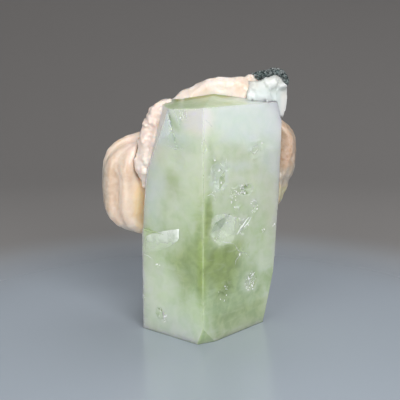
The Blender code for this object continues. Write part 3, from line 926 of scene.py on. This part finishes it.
def stilbiteMaterial(name, lineStrength, scattering):
    made, tree, shader, place = newMaterial(name)
    clouds = useGroup(tree, "mottle", {"Place": place, "Fine": 0.9})
    lines = useGroup(tree, "streaks", {
        "Place": place, "Across": (1.0, 1.0, 0.07), "Scale": 0.6, "Low": 0.45, "High": 0.75,
    })
    base = pointValue(tree, "tint", "Color")
    for mask, share, colour in (
        (lines["Mask"], lineStrength, "tan"),
        (clouds["Fine Mask"], 0.2, "white"),
        # the last is painted shade: tan in the creases
        (pointValue(tree, "creaseShade"), 0.45, "tan"),
    ):
        base = mixColour(tree, product(tree, mask, share), base, (*stilbite[colour], 1))
    lined = bumpFrom(tree, lines["Mask"], 0.07, 0.5)
    setInputs(tree, shader, {
        "Base Color": base,
        "Normal": bumpFrom(tree, clouds["Fine Mask"], 0.05, 0.4, lined),
        "Roughness": ramp(tree, clouds["Fine Mask"], 0.0, 1.0, 0.30, 0.46),
        "IOR": 1.5,
        "Subsurface Weight": 0.8,
        "Subsurface Radius": (1.0, 0.75, 0.55),
        "Subsurface Scale": scattering * mm,
        "Coat Weight": 0.25,
        "Coat Roughness": 0.2,
    })
    return made


def paintCreaseShade(mesh, reach):
    # painted shade in the creases: how far a point lies below the mean of the points around it
    shape = bmesh.new()
    shape.from_mesh(mesh)
    shape.normal_update()
    depth = []
    nearby = []
    for vertex in shape.verts:
        around = [edge.other_vert(vertex) for edge in vertex.link_edges]
        mean = sum((other.co for other in around), Vector()) / len(around)
        depth.append((mean - vertex.co).dot(vertex.normal))
        nearby.append([other.index for other in around])
    shape.free()
    for _ in range(3):
        depth = [
            (own + sum(depth[i] for i in around)) / (1 + len(around))
            for own, around in zip(depth, nearby)
        ]
    layer = mesh.attributes.new("creaseShade", "FLOAT", "POINT")
    for value, point in zip(depth, layer.data):
        point.value = smooth(0.0, reach, value)


sheaf = {
    "closing": 1.6,  # how far narrow grooves close up
    "ridge": 0.5,  # heights of the ridges, the fine ones between them and the roughness
    "fineRidge": 0.12,
    "rough": 0.10,
    "creaseShade": 0.05,  # depth from which a crease is fully tinted with painted shade
    "lineStrength": 0.18,
    "scattering": 2.0,
    "shade": 0.96,
}


def headingFrom(pivot, point):
    # the direction from a sheaf's upright line to a point, which wanders a little, and the distance
    away = Vector((point.x - pivot[0], point.y - pivot[1]))
    return math.degrees(math.atan2(away.y, away.x)) + 12.0 * noise.noise(point * 0.09), away.length


def bladeRelief(pivot):
    # upright ridges that open from the sheaf's own line
    def relief(point, normal):
        heading, away = headingFrom(pivot, point)
        ridge = noise.noise(Vector((heading * 0.12, point.z * 0.03, away * 0.05)))
        fine = noise.noise(Vector((heading * 0.5, point.z * 0.05, away * 0.1)))
        rough = noise.noise(point * 0.7)
        return stilbite["lift"] + sheaf["ridge"] * ridge + sheaf["fineRidge"] * fine + sheaf["rough"] * rough
    return relief


def sheafTint(kind):
    def tint(point, normal):
        heading, _ = headingFrom(kind["pivot"], point)
        band = smooth(-0.3, 0.4, noise.noise(Vector((heading * 0.11, point.z * 0.02, 1.0))))
        cloud = smooth(-0.3, 0.4, noise.fractal(point * 0.15, 1.0, 2.0, 3))
        light, dark = (Vector(stilbite[kind[shade]]) for shade in ("light", "dark"))
        colour = light.lerp(dark, 0.7 * band + 0.4 * cloud)
        return paintedOver(colour, kind["zones"], point) * sheaf["shade"]
    return tint


def sheafBody(name, node, kind):
    mesh = closedUp(meshFrom(name, mergedCopy(node)), sheaf["closing"], stilbite["voxel"], 4)
    mesh = remeshed(mesh, stilbite["voxel"], 3)
    tintPoints(mesh, sheafTint(kind))
    displaced(mesh, bladeRelief(kind["pivot"]))
    paintCreaseShade(mesh, sheaf["creaseShade"])
    material = stilbiteMaterial(name + "Finish", sheaf["lineStrength"], sheaf["scattering"])
    return finishedPiece(name, mesh, material, [node])


leftSheaf = {
    "pivot": (-10.8, 7.4),
    "light": "cream",
    "dark": "peach",
    "zones": openZones([
        ((-18.6, 1.2, 33.5), (1.9, 6.5), "amber", 2.5, 0.4, 0.9, "crisp"),
        # painted shade: tan down the groove and grey over the left plate, which faces away from the light
        ((-27.4, 1.8, 40.0), (1.3, 10.0), "tan", 3.0, 0.5, 0.75, "crisp"),
        ((-29.2, 3.0, 39.0), (2.2, 11.0), "grey", 5.0, 0.4, 0.7, "crisp"),
        ((-25.2, 1.0, 39.0), (1.0, 9.0), "tan", 4.0, 0.6, 0.6, "crisp"),
        ((-23.5, 3.0, 50.0), (4.0, 2.6), "tan", 5.0, 0.6, 0.3),
        ((-21.6, 0.4, 43.0), (1.2, 4.4), "tan", 2.0, 0.6, 0.6, "crisp"),
        ((-20.2, 3.0, 49.0), (2.6, 4.4), "pink", 5.0, 0.5, 0.8),
        ((-21.0, 1.5, 29.5), (3.0, 2.0), "rust", 3.0, 0.7, 0.15),
        ((-23.5, 2.5, 27.6), (5.0, 0.9), "white", 4.0, 0.5, 0.3),
    ]),
}
# painted darker than the left sheaf, in sand and tan: partly the brown of its translucent blades, partly
# painted shade where it stands back behind the prism
rightSheaf = {
    "pivot": (13.0, 12.5),
    "light": "sand",
    "dark": "tan",
    "zones": openZones([
        ((23.0, 9.5, 48.0), (4.0, 4.5), "rust", 5.0, 0.5, 0.5),
        ((21.5, 10.0, 40.5), (6.0, 3.4), "grey", 6.0, 0.4, 0.85),
        ((20.5, 12.0, 34.5), (5.0, 2.4), "olive", 6.0, 0.5, 0.7),
    ]),
}


print("stilbite")
sheafBody("left_sheaf", "stilbite_left_sheaf", leftSheaf)
sheafBody("right_sheaf", "stilbite_right_sheaf", rightSheaf)


crest = {
    "closing": 0.4,
    "facet": 0.24,  # heights of the facets, the small lumps and the combed lines over the top
    "lump": 0.08,
    "combed": 0.10,
    "tip": 1.3,  # how much the band's lower tip is drawn in
    "lean": 1.4,  # how far the band leans over the prism's left edge
    "shoulder": 1.2,  # how far the band's upper end is lowered
    "settle": 0.8,  # how far the plates sink onto the prism's top face
    "voxel": 0.3,  # of the skin that joins the grains to the crest
    # depth from which a crease is fully tinted with painted shade
    "creaseShade": 0.16,
    "lineStrength": 0.12,
    "scattering": 1.2,
    "shade": 0.94,
    "grains": {
        "Density": 1.3, "Spacing": 0.65, "Small": 0.8, "Large": 1.8, "Stretch": 0.9, "Sink": 0.3, "Seed": 4,
    },
    "zones": openZones([
        ((-15.0, -0.5, 56.0), (5.0, 8.0), "pink", 6.0, 0.4, 0.85),
        ((-16.4, -1.4, 46.0), (1.3, 5.5), "white", 3.0, 0.5, 0.4),
        ((10.0, 3.5, 66.5), (3.8, 3.0), "peach", 4.0, 0.6, 0.7, "crisp"),
        ((-5.0, 4.5, 64.0), (5.0, 1.2), "pink", 4.0, 0.6, 0.5, "broad", 12),
    ]),
}


def knobbly(point, normal):
    # only the band beside the prism and the crest's right end carry loose grains
    band = (1.0 - smooth(-12.0, -10.0, point.x)) * smooth(10.0, 7.0, point.y)
    return max(band * smooth(35.0, 39.0, point.z), smooth(8.6, 10.0, point.x) * smooth(62.0, 64.0, point.z))


def crestTint(point, normal):
    cloud = smooth(-0.2, 0.5, noise.fractal(point * 0.14, 1.0, 2.0, 3))
    colour = Vector(stilbite["white"]).lerp(Vector(stilbite["pink"]), 0.15 + 0.6 * cloud)
    return paintedOver(colour, crest["zones"], point) * crest["shade"]


def crestRelief(point, normal):
    # the lumps of the band are crowded; the plates over the top are combed along their length
    lumps = facetHeight(point, 2.6, 3.0) * crest["facet"] + noise.noise(point * 1.2) * crest["lump"]
    band = smooth(-11.0, -13.0, point.x) * smooth(5.0, 3.0, point.y)
    tip = crest["tip"] * smooth(44.0, 38.0, point.z) * band
    alongPlates = Vector((point.x * 0.35, point.y * 0.1, (point.z - 0.25 * point.x) * 1.3))
    over = smooth(59.0, 62.0, point.z)
    combed = crest["combed"] * noise.noise(alongPlates) * over
    # the inner sides come forward to the prism
    towards = smooth(0.1, 0.7, -normal.dot(Vector((point.x, point.y, 0.0)).normalized()))
    towards *= 0.8 + 1.0 * band - 0.3 * over
    return stilbite["lift"] + 0.1 + towards + lumps * (1.0 - 0.6 * over) + combed - tip


def settle(mesh, depth, rule):
    # lowers part of a mesh onto what lies under it
    for vertex in mesh.vertices:
        vertex.co.z -= depth * rule(vertex.co)


def overTop(point):
    # the lower rims of the plates, where they hang over the prism's top face
    return smooth(64.5, 63.0, point.z) * smooth(60.0, 61.0, point.z) * smooth(-13.0, -11.0, point.x)


def shapeBand(mesh):
    # the band leans over the prism's left edge, and its outer side and its shoulder are drawn in
    for vertex in mesh.vertices:
        vertex.co.y -= crest["lean"] * smooth(-12.0, -14.0, vertex.co.x) * smooth(38.0, 46.0, vertex.co.z)
        front = smooth(4.0, 2.0, vertex.co.y)
        outer = smooth(-14.0, -17.5, vertex.co.x) * front
        shoulder = smooth(-11.0, -13.0, vertex.co.x) * front
        vertex.co.x += outer * (0.7 + 0.6 * smooth(50.0, 57.0, vertex.co.z))
        vertex.co.z -= crest["shoulder"] * shoulder * smooth(54.0, 60.0, vertex.co.z)


def crestBody():
    material = stilbiteMaterial("crestFinish", crest["lineStrength"], crest["scattering"])
    mesh = closedUp(meshFrom("crest", mergedCopy("stilbite_crest")), crest["closing"], stilbite["voxel"], 2)
    displaced(mesh, crestRelief)
    settle(mesh, crest["settle"], overTop)
    shapeBand(mesh)
    paintPoints(mesh, "grains", knobbly)
    grains = grainsOn(mesh.copy(), {**crest["grains"], "Finish": material})
    mesh = remeshed(joined("grownTogether", [mesh, grains]), crest["voxel"], 1)
    tintPoints(mesh, crestTint)
    paintCreaseShade(mesh, crest["creaseShade"])
    return finishedPiece("pink_crest", mesh, material, ["stilbite_crest"])


crestBody()


# the pale cap and the dark crust

cap = {
    "light": (0.77, 0.80, 0.77),
    "grey": (0.62, 0.61, 0.54),
    # likeFace is the right face's pale blue, partly painted sheen; the warm colour is painted light
    "likeFace": (0.80, 0.90, 0.87),
    "warmPaintedLight": (0.96, 0.93, 0.86),
    "closing": 0.6,
    "voxel": 0.26,
    "forward": 0.9,  # how far its lower part bulges forward
    "under": 0.7,  # how far its underside goes down to the prism, and up right of it
    "settle": 0.6,
    "facet": 0.05,  # slopes of the broad facets and of the smaller ones at the top
    "smallFacet": 0.13,
}


def capRelief(point, normal):
    # broad broken facets, finer towards the top
    high = smooth(64.8, 66.5, point.z)
    broad = facetHeight(point, 3.8, 5.0) * cap["facet"] * (1.0 - 0.5 * high)
    grainy = facetHeight(point, 1.9, 6.0) * cap["smallFacet"] * high
    side = 1.0 if point.x < 17.0 else -1.0
    towards = max(smooth(0.2, 0.8, -normal.z) * side, smooth(0.2, 0.8, -normal.x))
    forward = smooth(0.3, 0.8, -normal.y) * smooth(64.5, 63.0, point.z) * smooth(18.0, 15.0, point.x)
    return stilbite["lift"] + cap["under"] * towards + cap["forward"] * forward + broad + grainy


def capOverhang(point):
    # its rim over the prism's top, lowest at the left
    left = 0.25 * smooth(15.5, 14.0, point.x) + 0.75 * smooth(19.5, 18.0, point.x)
    return smooth(64.0, 62.8, point.z) * left


def capTint(point, normal):
    cloud = smooth(-0.3, 0.4, noise.fractal(point * 0.25, 1.0, 2.0, 3))
    colour = Vector(cap["light"]).lerp(Vector(cap["grey"]), 0.5 * cloud)
    # painted light: the lower right, which lies in shade, is lightened
    colour = colour.lerp(Vector(cap["warmPaintedLight"]), smooth(19.0, 20.5, point.x) * smooth(64.5, 62.0, point.z))
    # the left and lower part take the right face's pale blue, partly painted sheen
    return colour.lerp(Vector(cap["likeFace"]), smooth(21.0, 18.5, point.x) * smooth(66.0, 62.0, point.z))


def capMaterial():
    made, tree, shader, place = newMaterial("paleCap")
    fine = useGroup(tree, "mottle", {"Place": place, "Coarse": 0.4, "Fine": 0.9})
    setInputs(tree, shader, {
        "Base Color": pointValue(tree, "tint", "Color"),
        "Normal": bumpFrom(tree, fine["Mask"], 0.05, 0.3),
        "Roughness": ramp(tree, fine["Fine Mask"], 0.0, 1.0, 0.35, 0.55),
        "IOR": 1.54,
        "Transmission Weight": 0.15,
        "Subsurface Weight": 1.0,
        "Subsurface Radius": (1.0, 1.0, 0.95),
        "Subsurface Scale": 3 * mm,
        "Coat Weight": 0.15,
        "Coat Roughness": 0.2,
    })
    return made


def capBody():
    mesh = closedUp(meshFrom("cap", mergedCopy("pale_crystal_cap")), cap["closing"], cap["voxel"], 3)
    displaced(mesh, capRelief)
    settle(mesh, cap["settle"], capOverhang)
    for vertex in mesh.vertices:
        # its lower part lies in one plane with the prism's right face
        proud = (vertex.co - frontEdge).dot(rightNormal)
        vertex.co -= rightNormal * max(proud, 0.0) * smooth(66.0, 64.0, vertex.co.z)
    tintPoints(mesh, capTint)
    return finishedPiece("pale_cap", mesh, capMaterial(), ["pale_crystal_cap"])


crust = {
    "black": (0.012, 0.020, 0.019, 1),
    "green": (0.06, 0.09, 0.088, 1),
    # painted glints on the dark grains
    "paintedGlint": (0.52, 0.58, 0.58, 1),
    "voxel": 0.25,
    "inset": 0.3,  # how far the core lies under its grains
    "grains": {
        "Density": 9.0, "Spacing": 0.22, "Small": 0.4, "Large": 0.9, "Stretch": 1.1, "Sink": 0.05, "Seed": 8,
        "Blocky": True,
    },
}


def crustMaterial():
    made, tree, shader, place = newMaterial("darkGrains")
    clouds = useGroup(tree, "mottle", {"Place": place, "Coarse": 0.7, "Fine": 1.4, "Low": 0.42, "High": 0.66})
    base = mixColour(tree, clouds["Mask"], crust["black"], crust["green"])
    # painted glints: a fine mottle of pale flecks
    paintedGlints = product(tree, clouds["Fine Mask"], 0.28)
    setInputs(tree, shader, {
        "Base Color": mixColour(tree, paintedGlints, base, crust["paintedGlint"]),
        "Roughness": ramp(tree, clouds["Fine Mask"], 0.0, 1.0, 0.10, 0.4),
    })
    return made


def crustBody():
    material = crustMaterial()
    core = remeshed(meshFrom("crust", mergedCopy("dark_matrix_crust")), crust["voxel"], 1)
    displaced(core, lambda point, normal: -crust["inset"])
    paintPoints(core, "grains", lambda point, normal: 1.0)
    grains = grainsOn(core.copy(), {**crust["grains"], "Finish": material})
    mesh = joined("dark_crust", [core, grains])
    return finishedPiece("dark_crust", mesh, material, ["dark_matrix_crust"], sharp=20)


print("cap and crust")
capBody()
crustBody()


# floor, light and camera

studio = {
    "flat": 0.26,  # reach of the level floor, the wall and the wall's height, in metres
    "radius": 0.55,
    "height": 0.7,
    "around": 96,
    "bendSteps": 12,
    "pale": (0.37, 0.417, 0.473, 1),
    "wall": (0.245, 0.234, 0.228, 1),
    "air": (0.9, 0.95, 1.0, 1),
    "airStrength": 0.15,
}
coolWhite = (0.93, 0.97, 1.0)
lamps = [
    # name, place, size, power, the height above the foot that it is turned to, and its colour
    ("key", (0.11, -0.35, 0.25), (0.24, 0.24), 1.65, 0.03, (1, 1, 1)),
    ("leftFill", (-0.22, -0.33, 0.15), (0.24, 0.24), 0.8, 0.03, (1, 1, 1)),
    ("top", (0.10, 0.18, 0.40), (0.34, 0.34), 0.62, 0.03, (1, 1, 1)),
    ("rightCard", (0.34, 0.06, 0.03), (0.30, 0.16), 0.24, 0.05, coolWhite),
    ("leftCard", (-0.30, 0.12, 0.12), (0.25, 0.22), 0.12, 0.04, coolWhite),
]
photoView = {"focal": 72.0, "sensor": 36.0, "place": (-2.11, -213.445, 73.677), "downward": 10.273}


def floorMesh():
    # a round pale floor that turns up into a plain wall
    around = studio["around"]
    bend = studio["radius"] - studio["flat"]
    profile = [(studio["flat"], 0.0)]
    for step in range(1, studio["bendSteps"] + 1):
        angle = math.pi / 2 * step / studio["bendSteps"]
        profile.append((studio["flat"] + bend * math.sin(angle), bend * (1 - math.cos(angle))))
    profile.append((studio["radius"], studio["height"]))
    shape = bmesh.new()
    rings = [[shape.verts.new((0, 0, 0))] * around]
    turns = [2 * math.pi * i / around for i in range(around)]
    for reach, height in profile:
        places = [(reach * math.cos(turn), reach * math.sin(turn), height) for turn in turns]
        rings.append([shape.verts.new(place) for place in places])
    for inner, outer in zip(rings, rings[1:]):
        for i in range(around):
            after = (i + 1) % around
            corners = [inner[i], outer[i], outer[after], inner[after]]
            shape.faces.new(corners[:3] if inner[i] is inner[after] else corners)
    return meshFrom("studio_floor", shape)


def studioFloor():
    floor = helperObject("studio_floor", floorMesh())
    floor.data.shade_smooth()
    made, tree, shader, place = newMaterial("studioPaper")
    reach = addNode(tree, "ShaderNodeVectorMath", {0: place}, operation="LENGTH").outputs["Value"]
    # darker out towards the wall: partly the wall's own grey, partly painted shade around the specimen
    share = ramp(tree, reach, 60.0, 130.0)
    setInputs(tree, shader, {
        "Base Color": mixColour(tree, share, studio["pale"], studio["wall"]),
        "Roughness": ramp(tree, share, 0.0, 1.0, 0.2, 0.9),
    })
    floor.data.materials.append(made)


def softLight(name, place, size, power, height, colour):
    data = bpy.data.lights.new(name, "AREA")
    data.shape = "RECTANGLE"
    data.size, data.size_y = size
    data.energy = power
    data.color = colour
    light = helperObject(name, data)
    light.location = place
    light.rotation_mode = "QUATERNION"
    light.rotation_quaternion = (up * height - Vector(place)).to_track_quat("-Z", "Y")
    light.visible_camera = False


def lightsAndWorld():
    for lamp in lamps:
        softLight(*lamp)
    world = bpy.data.worlds.new("studioAir")
    world.use_nodes = True
    setInputs(world.node_tree, world.node_tree.nodes["Background"], {
        "Color": studio["air"], "Strength": studio["airStrength"],
    })
    bpy.context.scene.world = world


def photoCamera():
    data = bpy.data.cameras.new("photoCamera")
    data.lens = photoView["focal"]
    data.sensor_width = photoView["sensor"]
    data.clip_start = 0.01
    camera = helperObject("photoCamera", data)
    camera.location = Vector(photoView["place"]) * mm
    camera.rotation_euler = (math.radians(90 - photoView["downward"]), 0, 0)
    bpy.context.scene.camera = camera


print("studio")
studioFloor()
lightsAndWorld()
photoCamera()
bpy.context.scene.view_settings.view_transform = "Standard"
